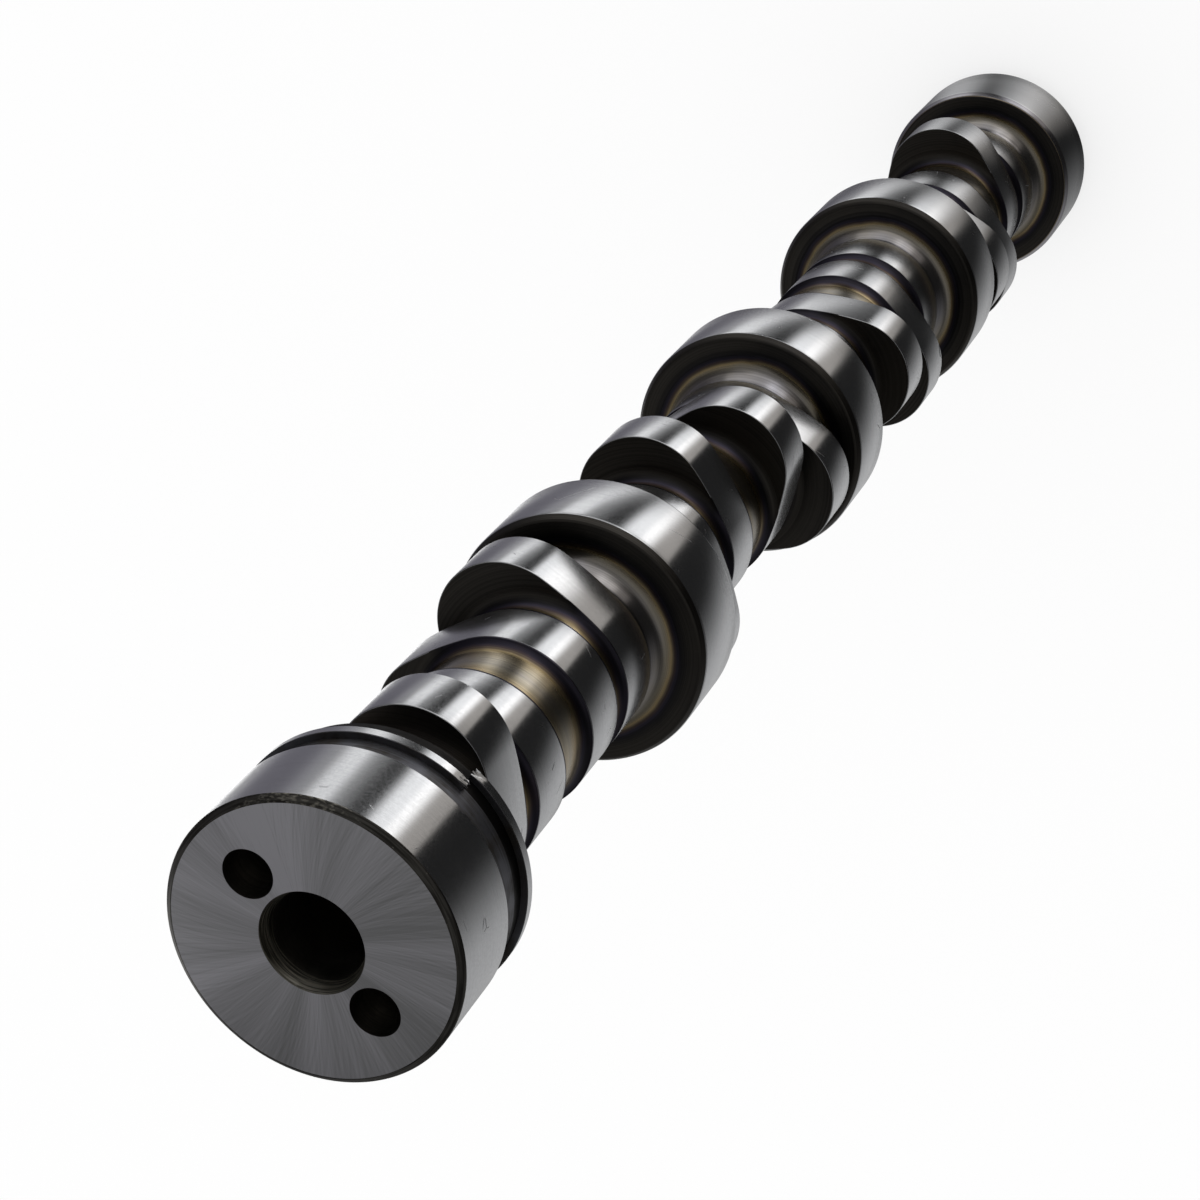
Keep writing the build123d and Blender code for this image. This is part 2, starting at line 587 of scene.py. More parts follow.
@dataclass
class Part:
    """Part of the shaft that is one piece."""

    sizes: ShaftSizes
    name: str

    def shape(self, mesh: PieceMesh) -> None:
        """Adds the part's points and faces, in each kind of part its own way."""
        raise NotImplementedError

    def build(self, materials: Materials) -> bpy.types.Object:
        """Makes the piece and dresses it.

        Args:
            materials: material of each finish.

        Returns:
            The finished piece.
        """
        mesh = PieceMesh(self.sizes.length)
        self.shape(mesh)
        return mesh.piece(self.name, materials)

    def journal_wall(self, mesh: PieceMesh, station: float, outer: float) -> list[Ring]:
        """Adds rings across a journal's wall, from inside the fillet's foot out to the chamfer.

        Args:
            mesh: the mesh that takes the rings.
            station: station of the wall.
            outer: radius where the chamfer begins.

        Returns:
            The rings in order outwards.
        """
        inner = self.sizes.wall_foot
        radii = [inner + (outer - inner) * step / WALL_RINGS for step in range(WALL_RINGS + 1)]
        return [mesh.ring(station, radius, between(radius, HEAT.beside_journal)) for radius in radii]


@dataclass
class Assembly:
    """Sub-assembly of several parts."""

    sizes: ShaftSizes

    def parts(self) -> list[Part]:
        """Lists the parts in order from the rear, in each kind of sub-assembly its own."""
        raise NotImplementedError

    def build(self, materials: Materials) -> list[bpy.types.Object]:
        """Makes and dresses the piece of every part."""
        return [part.build(materials) for part in self.parts()]


@dataclass
class Journal(Part):
    """Bearing journal: a ground face between two chamfers, with turned walls."""

    start: float
    width: float
    rear_edge: Edge = Edge(1.5, 1.1)
    drive_edge: Edge = Edge(1.5, 1.1)

    def shape(self, mesh: PieceMesh) -> None:
        """Adds both walls and the ground face between them.

        Args:
            mesh: the journal's mesh.
        """
        end = self.start + self.width
        rear = self.rear_edge.profile(self.start, self.sizes.journal_radius, Way.TO_DRIVE)
        drive = self.drive_edge.profile(end, self.sizes.journal_radius, Way.TO_REAR)
        rings = self.journal_wall(mesh, self.start, rear[0][1])
        rings += [mesh.ring(*one, heat=1.0) for one in (*rear[1:], *reversed(drive[1:]))]
        rings += reversed(self.journal_wall(mesh, end, drive[0][1]))
        wall = [Finish.WALL] * (WALL_RINGS + 2)
        mesh.body(rings, wall + [Finish.GROUND] * 3 + wall)


@dataclass
class CamLobe(Part):
    """Cam lobe: its outline ground all round, its walls turned, its edges broken."""

    start: float
    outline: CamOutline
    nose: float
    edge_break: float = 0.2
    edge_steps: int = 4
    wall_inset: float = 0.6

    @property
    def end(self) -> float:
        """Station where the lobe ends."""
        return self.start + self.sizes.lobe_width

    def radius(self, angle: float) -> float:
        """Radius of the lobe at an angle of the shaft in radians."""
        return self.outline.radius(angle - math.radians(self.nose))

    def outline_ring(self, mesh: PieceMesh, station: float, inset: float) -> Ring:
        """Adds a ring that follows the cam outline, a little inside it."""
        angles = [math.tau * step / SEGMENTS for step in range(SEGMENTS)]
        return [mesh.point(station, self.radius(angle) - inset, angle, 1.0) for angle in angles]

    def shape(self, mesh: PieceMesh) -> None:
        """Adds the ground outline between its two broken edges, and the walls.

        Args:
            mesh: the lobe's mesh.
        """
        size, steps = self.edge_break, self.edge_steps
        turns = [math.pi / 2 * step / steps for step in range(steps + 1)]
        rear = [(size * (1 - math.cos(turn)), size * (1 - math.sin(turn))) for turn in turns]
        profile = [(self.start, self.wall_inset)]
        profile += [(self.start + along, inset) for along, inset in rear]
        profile += [(self.end - along, inset) for along, inset in reversed(rear)]
        profile.append((self.end, self.wall_inset))
        rings = [self.outline_ring(mesh, station, inset) for station, inset in profile]
        mesh.body(rings, [Finish.WALL] + [Finish.GROUND] * (len(rings) - 3) + [Finish.WALL])


@dataclass(frozen=True)
class Fillet:
    """Hollow corner between a neck and the wall beside it."""

    radius: float
    steps: int
    outline: Outline
    heat: Stops

    def tint(self, radius: float, angle: float) -> float:
        """Says how far the tints have gone, 0 to 1, which is not far where the wall is low."""
        return min(between(radius, self.heat), between(self.outline(angle), HEAT.wall_limit))


@dataclass
class Neck(Part):
    """Neck between two blocks, with a hollow fillet at each end that never stands above a lobe."""

    start: float
    end: float
    rear: Fillet
    drive: Fillet
    overlap: float = 0.8
    below_edge: float = 0.02
    least_run: float = 0.05
    plain_rings: tuple[float, ...] = (0.33, 0.66, 1.0)
    tint_reach: float = 9.0

    def half(self, mesh: PieceMesh, fillet: Fillet, wall: float, way: Way, run: float) -> list[Ring]:
        """Rings of one fillet, from inside its wall down to the neck, and of the neck up to its middle.

        Args:
            mesh: the mesh that takes the rings.
            fillet: the fillet.
            wall: station of the wall.
            way: where the neck lies from the wall.
            run: length of plain neck from the fillet to the neck's middle.

        Returns:
            The rings in order away from the wall. Only the rear half has one at the middle.
        """
        neck = self.sizes.neck_radius
        columns: list[list[int]] = []
        for step in range(SEGMENTS):
            angle = math.tau * step / SEGMENTS
            top = min(fillet.outline(angle) - self.below_edge, neck + fillet.radius)
            drop = neck + fillet.radius - top
            first = math.asin(min(1.0, drop / fillet.radius))
            column = [mesh.point(wall - way * self.overlap, top, angle, fillet.tint(top, angle))]
            for part in range(fillet.steps + 1):
                turn = first + (math.pi / 2 - first) * part / fillet.steps
                station = wall + way * fillet.radius * (1 - math.cos(turn))
                radius = neck + fillet.radius * (1 - math.sin(turn))
                column.append(mesh.point(station, radius, angle, fillet.tint(radius, angle)))
            columns.append(column)
        rings = [list(ring) for ring in zip(*columns)]
        if run > self.least_run:
            for part in self.plain_rings[: None if way is Way.TO_DRIVE else -1]:
                station = wall + way * (fillet.radius + run * part)
                heat = fillet.heat[0][1] * max(0.0, 1.0 - run * part / self.tint_reach)
                rings.append(mesh.ring(station, neck, heat))
        return rings

    def shape(self, mesh: PieceMesh) -> None:
        """Adds the two fillets and the plain neck between them.

        Args:
            mesh: the neck's mesh.
        """
        run = (self.end - self.start - self.rear.radius - self.drive.radius) / 2
        rings = self.half(mesh, self.rear, self.start, Way.TO_DRIVE, run)
        rings += reversed(self.half(mesh, self.drive, self.end, Way.TO_REAR, run))
        mesh.body(rings, [Finish.NECK] * (len(rings) - 1))


@dataclass(frozen=True)
class DrilledHole:
    """Hole drilled from an end face, with an optional taper at its mouth, a thread and a drill point."""

    diameter: float
    depth: float
    place: tuple[float, float] = (0.0, 0.0)
    mouth_diameter: float = 0.0
    mouth_depth: float = 0.0
    thread_pitch: float = 0.0
    thread_height: float = 0.0
    thread_steps: int = 6
    thread_start: float = 0.5
    thread_runout: int = 2
    segments: int = 64
    drill_point_angle: float = 118.0
    drill_tip: float = 0.02

    def round_ring(self, mesh: PieceMesh, station: float, radius: float) -> Ring:
        """Adds a ring round the hole's own axis."""
        return mesh.ring(station, radius, segments=self.segments, centre=self.place)

    def mouth(self, mesh: PieceMesh, station: float) -> Ring:
        """Adds the ring of the hole's mouth on its face."""
        return self.round_ring(mesh, station, max(self.mouth_diameter, self.diameter) / 2)

    def sink(self, mesh: PieceMesh, mouth: Ring, station: float, inwards: Way) -> None:
        """Adds the walls and the drill point below the mouth.

        Args:
            mesh: the mesh that takes them.
            mouth: ring of the mouth.
            station: station of the face.
            inwards: where the hole goes.
        """
        radius = self.diameter / 2
        rings = [mouth]
        if self.mouth_depth:
            rings.append(self.round_ring(mesh, station + inwards * self.mouth_depth, radius))
        rings += self.thread(mesh, station, inwards)
        point = radius / math.tan(math.radians(self.drill_point_angle / 2)) * (1 - self.drill_tip)
        for depth, share in ((self.depth, 1.0), (self.depth + point, self.drill_tip)):
            rings.append(self.round_ring(mesh, station + inwards * depth, radius * share))
        finishes = [Finish.TAPER if self.mouth_depth else Finish.HOLE] + [Finish.HOLE] * len(rings)
        for above, below, finish in zip(rings, rings[1:], finishes):
            pair = (below, above) if inwards is Way.TO_DRIVE else (above, below)
            mesh.bridge(*pair, finish)
        mesh.close(rings[-1], Finish.HOLE, Way(-inwards))

    def thread(self, mesh: PieceMesh, station: float, inwards: Way) -> list[Ring]:
        """Adds the turns of a thread, each ring a little further round the helix.

        Args:
            mesh: the mesh that takes the rings.
            station: station of the face.
            inwards: where the hole goes.

        Returns:
            The rings in order inwards.
        """
        if not self.thread_pitch:
            return []
        rings = []
        turns = int((self.depth - self.mouth_depth) / self.thread_pitch) - self.thread_runout
        for step in range(turns * self.thread_steps + 1):
            along = self.mouth_depth + self.thread_pitch * (self.thread_start + step / self.thread_steps)
            ring = []
            for part in range(self.segments):
                phase = (step / self.thread_steps + part / self.segments) % 1.0
                radius = self.diameter / 2 + self.thread_height * abs(2 * phase - 1)
                x, y = on_circle(2 * radius, 360.0 * part / self.segments)
                x, y = x + self.place[0], y + self.place[1]
                ring.append(mesh.point(station + inwards * along, math.hypot(x, y), math.atan2(x, y)))
            rings.append(ring)
        return rings


def on_circle(circle: float, angle: float) -> tuple[float, float]:
    """Place on a circle of a diameter, clockwise from +Y in degrees."""
    turn = math.radians(angle)
    return (circle / 2 * math.sin(turn), circle / 2 * math.cos(turn))


def drill(mesh: PieceMesh, outer: Ring, holes: list[DrilledHole], station: float, inwards: Way) -> None:
    """Closes an end of the shaft with its flat face and drills the holes in it.

    Args:
        mesh: the mesh that takes them.
        outer: ring round the face.
        holes: the holes.
        station: station of the face.
        inwards: where the holes go.
    """
    mouths = [hole.mouth(mesh, station) for hole in holes]
    mesh.close_with_holes(outer, mouths, Finish.FACE, Way(-inwards))
    for hole, mouth in zip(holes, mouths):
        hole.sink(mesh, mouth, station, inwards)


@dataclass
class RearEnd(Part):
    """Rear journal with its drilled face, the groove behind it and the floor of the sensor wheel."""

    name: str = "rear_journal"
    face_edge: Edge = Edge(0.9, 1.23, 0.12)
    bore: DrilledHole = DrilledHole(17.3, 45.0, mouth_diameter=19.6, mouth_depth=3.0, segments=120)
    side_hole_diameter: float = 9.4
    side_hole_depth: float = 12.0
    side_hole_circle: float = 31.3
    side_hole_angles: tuple[float, ...] = (0.0, 180.0)
    groove_corner: float = 0.25
    wheel_chamfer: float = 0.2
    corner_break: float = 0.15
    nicks: tuple[tuple[float, float, float], ...] = ((91.0, 2.4, 0.9), (96.5, 1.7, 0.5), (100.0, 1.6, 0.35))

    def nicked_corner(self, mesh: PieceMesh) -> list[Ring]:
        """Adds the two rings of the corner at the groove, which was nicked in handling.

        Args:
            mesh: the mesh that takes the rings.

        Returns:
            The rings in order.
        """
        station, radius = self.sizes.rear_journal_width, self.sizes.journal_radius
        outer, inner = [], []
        for step in range(SEGMENTS):
            azimuth = 360.0 * step / SEGMENTS
            depths = [deep * (1.0 - abs(azimuth - place) / reach) for place, reach, deep in self.nicks]
            size = max(self.corner_break, *depths)
            outer.append(mesh.point(station - size, radius, math.radians(azimuth)))
            inner.append(mesh.point(station, radius - size, math.radians(azimuth)))
        return [outer, inner]

    def shape(self, mesh: PieceMesh) -> None:
        """Adds the drilled face, the ground journal, the groove and the wheel's floor.

        Args:
            mesh: the rear end's mesh.
        """
        sizes = self.sizes
        edge = self.face_edge.profile(0.0, sizes.journal_radius, Way.TO_DRIVE)
        rings = [mesh.ring(*one) for one in edge]
        places = [on_circle(self.side_hole_circle, angle) for angle in self.side_hole_angles]
        sides = [DrilledHole(self.side_hole_diameter, self.side_hole_depth, place) for place in places]
        drill(mesh, rings[0], [self.bore, *sides], 0.0, Way.TO_DRIVE)
        floor = sizes.journal_radius - sizes.sensor_floor_depth
        corner, groove = self.groove_corner, sizes.rear_journal_width
        rings += self.nicked_corner(mesh)
        profile = [
            (groove, floor + corner),
            (groove + corner, floor),
            (groove + sizes.sensor_groove + sizes.sensor_track / 2, floor),
            (sizes.sensor_end - self.wheel_chamfer, floor),
            (sizes.sensor_end, floor - self.wheel_chamfer),
            (sizes.sensor_end, sizes.wall_foot),
        ]
        rings += [mesh.ring(*one) for one in profile]
        finishes = [Finish.EDGE] * 3 + [Finish.GROUND] * 2
        # The floor under and between the sensor wheel's rings, and its chamfer, are painted near-black as
        # shade.
        finishes += [Finish.GROOVE] * 3 + [Finish.SHADED_FLOOR] * 2 + [Finish.WALL]
        mesh.loft(rings, finishes)
        mesh.close(rings[-1], Finish.WALL, Way.TO_DRIVE)


@dataclass
class SensorRing(Part):
    """Half ring of the sensor wheel, its two ends a little torn where it was parted."""

    start: float
    first: float
    drop: float = 0.1
    edge_break: float = 0.12
    root: float = 0.4
    torn_reach: float = 1.3
    torn_back: float = 0.3
    torn_depth: float = 0.35
    torn_columns: int = 3
    torn_points: int = 9
    seed: int = 5

    def shape(self, mesh: PieceMesh) -> None:
        """Adds the section of the ring column by column round its half turn, and its two ends.

        Args:
            mesh: the ring's mesh.
        """
        outer = self.sizes.journal_radius - self.drop
        inner = self.sizes.journal_radius - self.sizes.sensor_floor_depth - self.root
        end = self.start + self.sizes.sensor_track
        size = self.edge_break
        gap = (self.sizes.sensor_track - 2 * size) / self.torn_points
        crest = [(self.start + size + gap * part, outer) for part in range(self.torn_points + 1)]
        foot, top = (self.start, inner), (self.start, outer - size)
        section = [foot, top, *crest, (end, outer - size), (end, inner)]
        steps = SEGMENTS // 2
        torn = random.Random(self.seed)
        columns = []
        for step in range(steps + 1):
            angle = math.radians(self.first + 180.0 * step / steps)
            ragged = max(0.0, 1.0 - min(step, steps - step) / self.torn_columns)
            outwards = -1 if step < steps / 2 else 1
            column = []
            for station, radius in section:
                shift = 0.0
                if ragged and radius > inner:
                    pulled = torn.uniform(-self.torn_back, 1.0) * self.torn_reach / 2
                    shift = outwards * ragged * pulled / radius
                    radius -= ragged * torn.uniform(0.0, self.torn_depth)
                column.append(mesh.point(station, radius, angle + shift))
            columns.append(column)
        finishes = [Finish.GROOVE] * 2 + [Finish.GROUND] * self.torn_points + [Finish.GROOVE] * 3
        for one, two in zip(columns, columns[1:]):
            for index, finish in enumerate(finishes):
                after = (index + 1) % len(section)
                mesh.face((one[index], two[index], two[after], one[after]), finish)
        mesh.face(columns[0], Finish.FACE)
        mesh.face(reversed(columns[-1]), Finish.FACE)


@dataclass
class SensorWheel(Assembly):
    """Two half rings side by side, each covering the half of the shaft that the other leaves free."""

    step_angle: float = 86.0

    def parts(self) -> list[Part]:
        """Lists the two half rings.

        Returns:
            The half rings in order from the rear.
        """
        sizes = self.sizes
        start = sizes.rear_journal_width + sizes.sensor_groove
        second = start + sizes.sensor_track + sizes.sensor_gap
        return [
            SensorRing(sizes, "sensor_ring_a", start, self.step_angle - 180.0),
            SensorRing(sizes, "sensor_ring_b", second, self.step_angle),
        ]


@dataclass
class DriveEnd(Part):
    """Drive journal with its thrust face and the hub with threaded holes, dowel hole and centre hole."""

    name: str = "drive_journal"
    hub_diameter: float = 43.0
    hub_chamfer: float = 0.8
    hub_corner: float = 0.4
    rear_edge: Edge = Edge(1.5, 1.1)
    face_edge: Edge = Edge(1.0, 1.0)
    thread_count: int = 3
    threaded: DrilledHole = DrilledHole(
        6.8, 20.0, mouth_diameter=8.0, mouth_depth=0.6, thread_pitch=1.25, thread_height=0.55
    )
    dowel: DrilledHole = DrilledHole(7.9, 11.0)
    hole_circle: float = 31.0
    centre_hole: DrilledHole = DrilledHole(6.0, 14.0, mouth_diameter=11.0, mouth_depth=4.33)

    def holes(self) -> list[DrilledHole]:
        """Lists the holes in the hub's face.

        Returns:
            The centre hole, the threaded holes and the dowel hole.
        """
        step = 360.0 / self.thread_count
        round_hub = [(self.threaded, step * index) for index in range(self.thread_count)]
        round_hub.append((self.dowel, step / 2))
        placed_holes = [replace(hole, place=on_circle(self.hole_circle, turn)) for hole, turn in round_hub]
        return [self.centre_hole, *placed_holes]

    def shape(self, mesh: PieceMesh) -> None:
        """Adds the rear wall, the ground journal, the thrust face and the drilled hub.

        Args:
            mesh: the drive end's mesh.
        """
        sizes = self.sizes
        start = sizes.journal_wall(sizes.journal_count - 1)
        rear = self.rear_edge.profile(start, sizes.journal_radius, Way.TO_DRIVE)
        face = self.face_edge.profile(sizes.drive_face, sizes.journal_radius, Way.TO_REAR)
        hub, corner = self.hub_diameter / 2, self.hub_corner
        profile = [
            *rear[1:],
            *reversed(face),
            (sizes.drive_face, hub + corner),
            (sizes.drive_face + corner, hub),
            (sizes.length - self.hub_chamfer, hub),
            (sizes.length, hub - self.hub_chamfer),
        ]
        rings = self.journal_wall(mesh, start, rear[0][1])
        rings += [mesh.ring(*one) for one in profile]
        finishes = [Finish.WALL] * (WALL_RINGS + 2) + [Finish.GROUND] * 3 + [Finish.WALL] * 2
        finishes += [Finish.FACE, Finish.FACE, Finish.GROUND, Finish.FACE]
        mesh.loft(rings, finishes)
        mesh.close(rings[0], Finish.WALL, Way.TO_REAR)
        drill(mesh, rings[-1], self.holes(), sizes.length, Way.TO_REAR)


class Steel:
    """Finish of the steel bar. Each kind says how it was made and what that gives the eye."""

    def look(self, nodes: Nodes) -> Inputs:
        """Adds the finish's nodes and returns what the shader's inputs take."""
        raise NotImplementedError

    def material(self, name: str) -> bpy.types.Material:
        """Makes the material, with its constant values on the shader's own sockets.

        Args:
            name: name of the material.

        Returns:
            The material.
        """
        made = bpy.data.materials.new(name)
        made.use_nodes = True
        nodes = Nodes(made.node_tree)
        nodes.connect(nodes.tree.nodes["Principled BSDF"], {"Metallic": 1.0, **self.look(nodes)})
        return made

    @staticmethod
    def marked_round(nodes: Nodes, share: float) -> Inputs:
        """Draws highlights out across marks that run round the axis.

        Args:
            nodes: the material's nodes.
            share: how far the highlights are drawn out, 0 to 1.

        Returns:
            What the shader's inputs take, by name.
        """
        tangent = nodes.add("Tangent", direction_type="RADIAL", axis="Z")
        return {"Anisotropic": share, "Anisotropic Rotation": ACROSS_THE_MARKS, "Tangent": tangent}


@dataclass(frozen=True)
class GroundSteel(Steel):
    """Alloy steel, hardened and cylindrically ground.

    The wheel's marks run round the axis. So each bright band is sharp round the shaft and drawn out
    along it, with the faint grain of the wheel, and a few scratches from handling cross it.
    """

    # Real grinding marks lie some 0.02 mm apart, too fine to show, so they are drawn 0.16 mm apart,
    # and the grain of the wheel 0.5 mm across.

    bright: str = "#C9CACC"
    dull: str = "#C0C1C3"
    roughness: float = 0.2
    anisotropy: float = 0.8
    mark_spacing: float = 0.16
    mark_length: float = 45.0
    mark_depth: float = 0.002
    mark_bump: float = 0.15
    grain_size: float = 0.5
    grain_spread: float = 0.03
    scratch_roughness: float = 0.3
    scratch_spacing: float = 16.0
    scratch_width: float = 0.1
    scratch_zone: float = 4.0
    scratched_share: float = 0.63
    scratch_fade: float = 0.04

    def scratches(self, nodes: Nodes) -> Node:
        """Adds a value of 1 along short thin scratches and 0 elsewhere.

        Args:
            nodes: the material's nodes.

        Returns:
            The node that gives the value.
        """
        mesh_size = {"Vector": nodes.place, "Scale": 1 / (self.scratch_spacing * METRES)}
        lines = nodes.add("TexVoronoi", mesh_size, feature="DISTANCE_TO_EDGE")
        width = self.scratch_width / self.scratch_spacing
        fall = {"Value": lines, "From Min": width / 2, "From Max": width, "To Min": 1.0, "To Max": 0.0}
        thin = nodes.add("MapRange", fall)
        zone = nodes.marks(self.scratch_zone, self.scratch_zone, detail=1.0)
        limit = self.scratched_share
        rise = {"Value": zone, "From Min": limit, "From Max": limit + self.scratch_fade}
        kept = nodes.add("MapRange", rise)
        return nodes.add("Math", {0: thin, 1: kept}, operation="MULTIPLY")

    def look(self, nodes: Nodes) -> Inputs:
        """Adds the grinding marks, the grain and the scratches.

        Args:
            nodes: the material's nodes.

        Returns:
            What the shader's inputs take, by name.
        """
        ground = nodes.marks(self.mark_length, self.mark_spacing, detail=3.0)
        grain = nodes.marks(self.grain_size, self.grain_size, detail=2.0)
        spread = {
            "Value": grain,
            "From Min": NOISE_WIDE[0],
            "From Max": NOISE_WIDE[1],
            "To Min": self.roughness - self.grain_spread,
            "To Max": self.roughness + self.grain_spread,
        }
        grained = nodes.add("MapRange", spread)
        rough = {0: self.scratches(nodes), 1: self.scratch_roughness, 2: grained}
        bump = {"Height": ground, "Strength": self.mark_bump, "Distance": self.mark_depth * METRES}
        return {
            "Base Color": nodes.two_tone(ground, NOISE_WIDE, linear(self.dull), linear(self.bright)),
            "Roughness": nodes.add("Math", rough, operation="MULTIPLY_ADD"),
            "Normal": nodes.add("Bump", bump),
            **self.marked_round(nodes, self.anisotropy),
        }


@dataclass(frozen=True)
class TemperTintedSteel(Steel):
    """Alloy steel, turned on a lathe and tinted by the hardening of the faces beside it.

    To the eye it runs from bare grey through straw, brown and violet to black oxide, which is dull
    where the bare steel still shines. Fine turned rings lie under the tint.
    """

    # The feed of the tool is drawn as 0.35 mm. The real rings are nearer 0.15 mm and wouldn't show.

    tints: tuple[tuple[float, str], ...] = (
        (0.00, "#A3A1A6"),
        (0.24, "#A39B8A"),
        (0.36, "#AD9A75"),
        (0.46, "#6F6354"),
        (0.54, "#4E4445"),
        (0.62, "#3E3B46"),
        (0.76, "#302F31"),
        (1.00, "#484541"),
    )
    bare_roughness: float = 0.2
    oxide_roughness: float = 0.42
    wander: float = 0.22
    patch_size: float = 16.0
    ring_spacing: float = 0.35
    ring_depth: float = 0.004
    ring_bump: float = 0.5
    ring_dark: str = "#E4E4E4"

    def look(self, nodes: Nodes) -> Inputs:
        """Adds the tints, their dull oxide and the turned rings.

        Args:
            nodes: the material's nodes.

        Returns:
            What the shader's inputs take, by name.
        """
        patches = nodes.marks(self.patch_size, self.patch_size, detail=3.0)
        drift = {"Value": patches, "To Min": -self.wander, "To Max": self.wander}
        shift = nodes.add("MapRange", drift)
        temper = nodes.add("Attribute", attribute_name="temper").outputs["Fac"]
        heat = nodes.add("Math", {0: temper, 1: shift}, operation="ADD")
        ramp = nodes.add("ValToRGB", {"Fac": heat})
        stops = ramp.color_ramp.elements
        stops[0].color = linear(self.tints[0][1])
        stops[1].color = linear(self.tints[-1][1])
        for position, colour in self.tints[1:-1]:
            stops.new(position).color = linear(colour)
        turned = self.turned_coordinate(nodes)
        rings = nodes.add("TexNoise", {"Vector": turned, "Scale": 1.0, "Detail": 2.0})
        shade = nodes.two_tone(rings, NOISE_MIDDLE, linear(self.ring_dark), linear(WHITE))
        under = {"Factor": 1.0, "A": ramp, "B": shade}
        dulled = {"Value": heat, "To Min": self.bare_roughness, "To Max": self.oxide_roughness}
        bump = {"Height": rings, "Strength": self.ring_bump, "Distance": self.ring_depth * METRES}
        return {
            "Base Color": nodes.add("Mix", under, data_type="RGBA", blend_type="MULTIPLY"),
            "Roughness": nodes.add("MapRange", dulled),
            "Normal": nodes.add("Bump", bump),
        }

    def turned_coordinate(self, nodes: Nodes) -> Node:
        """Adds a coordinate that changes along and away from the axis, but not round it.

        Args:
            nodes: the material's nodes.

        Returns:
            The node that gives the coordinate, in steps of one ring.
        """
        parts = nodes.add("SeparateXYZ", {"Vector": nodes.place}).outputs
        flat = nodes.add("CombineXYZ", {"X": parts["X"], "Y": parts["Y"]})
        radius = nodes.add("VectorMath", {0: flat}, operation="LENGTH")
        section = nodes.add("CombineXYZ", {"X": radius, "Y": parts["Z"]})
        in_rings = {0: section, "Scale": 1 / (self.ring_spacing * METRES)}
        return nodes.add("VectorMath", in_rings, operation="SCALE")


@dataclass(frozen=True)
class FaceGroundSteel(Steel):
    """Alloy steel, face ground with the rim of a cup wheel.

    To the eye it is satin and mid grey, with fine streaks that fan out from the middle and lean a
    little. Its paler wedges with a violet cast, and the darker ones between them, are painted highlight and
    shade, turned to where the light falls.
    """

    # Some 330 streaks go round, 0.5 mm apart at the rim. The real ones are several times as fine.

    # Tones of the streaks and of the painted highlight wedges, with painted shade between the wedges.
    dark: str = "#A2A2A4"
    light: str = "#D3D2D8"
    roughness: float = 0.45
    roughness_spread: float = 0.06
    anisotropy: float = 0.4
    # Painted highlight and shade: wedges round the face, turned to where the light falls.
    highlight_wedges_round: float = 9.0
    highlight_wedge_turn: float = -80.0
    streaks_round: float = 330.0
    streak_twist: float = 9.0
    streak_depth: float = 0.004
    streak_bump: float = 0.6
    streak_weight: float = 0.35
    layer_roughness: float = 0.6
    tone_range: tuple[float, float] = (0.68, 1.04)

    def fan(self, nodes: Nodes, twist: float) -> Node:
        """Adds a coordinate that changes only round the axis, or along arcs that lean from the spokes.

        Args:
            nodes: the material's nodes.
            twist: lean of the arcs in radians per metre of radius.

        Returns:
            The node that gives the coordinate, one unit long.
        """
        flat = nodes.add("VectorMath", {0: nodes.place, 1: IN_THE_FACE}, operation="MULTIPLY")
        radius = nodes.add("VectorMath", {0: flat}, operation="LENGTH")
        lean = {0: radius, 1: twist, 2: math.radians(self.highlight_wedge_turn)}
        angle = nodes.add("Math", lean, operation="MULTIPLY_ADD")
        turn = {"Vector": flat, "Angle": angle}
        turned = nodes.add("VectorRotate", turn, rotation_type="Z_AXIS")
        return nodes.add("VectorMath", {0: turned}, operation="NORMALIZE")

    def look(self, nodes: Nodes) -> Inputs:
        """Adds the painted highlight wedges and the two layers of streaks.

        Args:
            nodes: the material's nodes.

        Returns:
            What the shader's inputs take, by name.
        """
        spokes, arcs = self.fan(nodes, 0.0), self.fan(nodes, self.streak_twist)
        layers = (
            (spokes, self.highlight_wedges_round, 2.0),
            (spokes, self.streaks_round, 3.0),
            (arcs, self.streaks_round, 3.0),
        )
        rough = {"Roughness": self.layer_roughness}
        highlight_wedges, streaks, crossing = (
            nodes.add("TexNoise", {"Vector": fan, "Scale": count / math.tau, "Detail": detail, **rough})
            for fan, count, detail in layers
        )
        both = nodes.add("Math", {0: streaks, 1: crossing}, operation="ADD")
        # The colour is the streaks laid over the painted highlight and shade of the wedges.
        weighed = {0: both, 1: self.streak_weight, 2: highlight_wedges}
        share = nodes.add("Math", weighed, operation="MULTIPLY_ADD")
        spread = {
            "Value": both,
            "From Min": 2 * NOISE_WIDE[0],
            "From Max": 2 * NOISE_WIDE[1],
            "To Min": self.roughness + self.roughness_spread,
            "To Max": self.roughness - self.roughness_spread,
        }
        bump = {"Height": both, "Strength": self.streak_bump, "Distance": self.streak_depth * METRES}
        return {
            "Base Color": nodes.two_tone(share, self.tone_range, linear(self.dark), linear(self.light)),
            "Roughness": nodes.add("MapRange", spread),
            "Normal": nodes.add("Bump", bump),
            **self.marked_round(nodes, self.anisotropy),
        }


